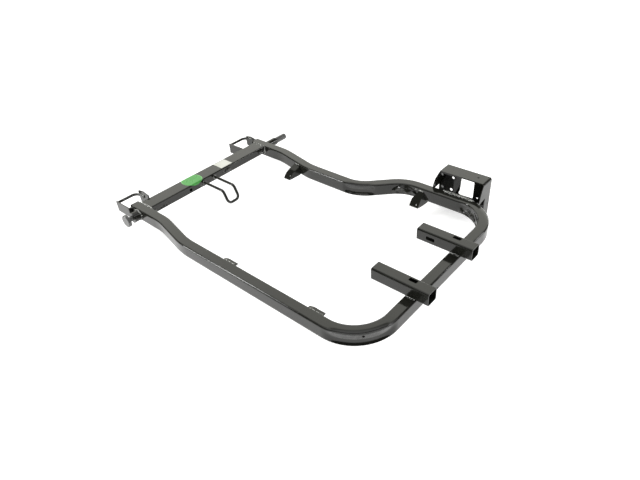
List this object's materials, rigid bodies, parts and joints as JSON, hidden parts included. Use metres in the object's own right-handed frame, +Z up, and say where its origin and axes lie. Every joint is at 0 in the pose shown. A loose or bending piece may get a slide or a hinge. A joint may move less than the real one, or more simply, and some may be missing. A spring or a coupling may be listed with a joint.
{
  "type": "pivoting tubular receiver frame",
  "caption": "Bent rectangular-tube frame with coaxial pivot pins at its open end, two square receiver stubs at its closed end, and welded straps, lugs and a corner bracket.",
  "frame": {"origin": "on the pivot axis, midway between the two rail stubs", "axes": "+X towards the closed end with the receivers, +Y along the pivot axis from the near (headed) pin to the far pin, +Z up"},
  "size_m": [1.1475, 0.843, 0.139],
  "materials": {
    "paint": "glossy black paint",
    "pin_paint": "glossy black paint, worn bright on the bearing lengths",
    "washer_zinc": "zinc plated",
    "spring_steel": "phosphated spring steel",
    "label_white": "matt white paper label",
    "sticker_green": "satin green vinyl"
  },
  "bodies": {
    "frame": {"perimeter_tube": "paint", "cross_tube": "paint", "receiver_near": "paint", "receiver_far": "paint", "corner_bracket": "paint", "lug_front": "paint", "lug_rear": "paint", "near_rail_tab_1": "paint", "near_rail_tab_2": "paint", "rod_loop": "paint", "strap_loop_near": "paint", "strap_loop_far": "paint", "ear_plate_near": "paint", "ear_plate_far": "paint", "pivot_sleeve_near": "paint", "pivot_sleeve_far": "paint", "blank_label": "label_white", "round_sticker": "sticker_green"},
    "near_pin": {"pivot_pin_near": "pin_paint", "thrust_washer_near": "washer_zinc", "retaining_ring_near": "spring_steel"},
    "far_pin": {"pivot_pin_far": "pin_paint", "thrust_washer_far": "washer_zinc", "retaining_ring_far": "spring_steel"}
  },
  "joints": [
    {"name": "near_pin_turn", "type": "hinge", "parent": "frame", "child": "near_pin", "pos_m": [0, -0.32, 0], "axis": [0, 1, 0], "continuous": true},
    {"name": "far_pin_turn", "type": "hinge", "parent": "frame", "child": "far_pin", "pos_m": [0, 0.335, 0], "axis": [0, 1, 0], "continuous": true}
  ]
}
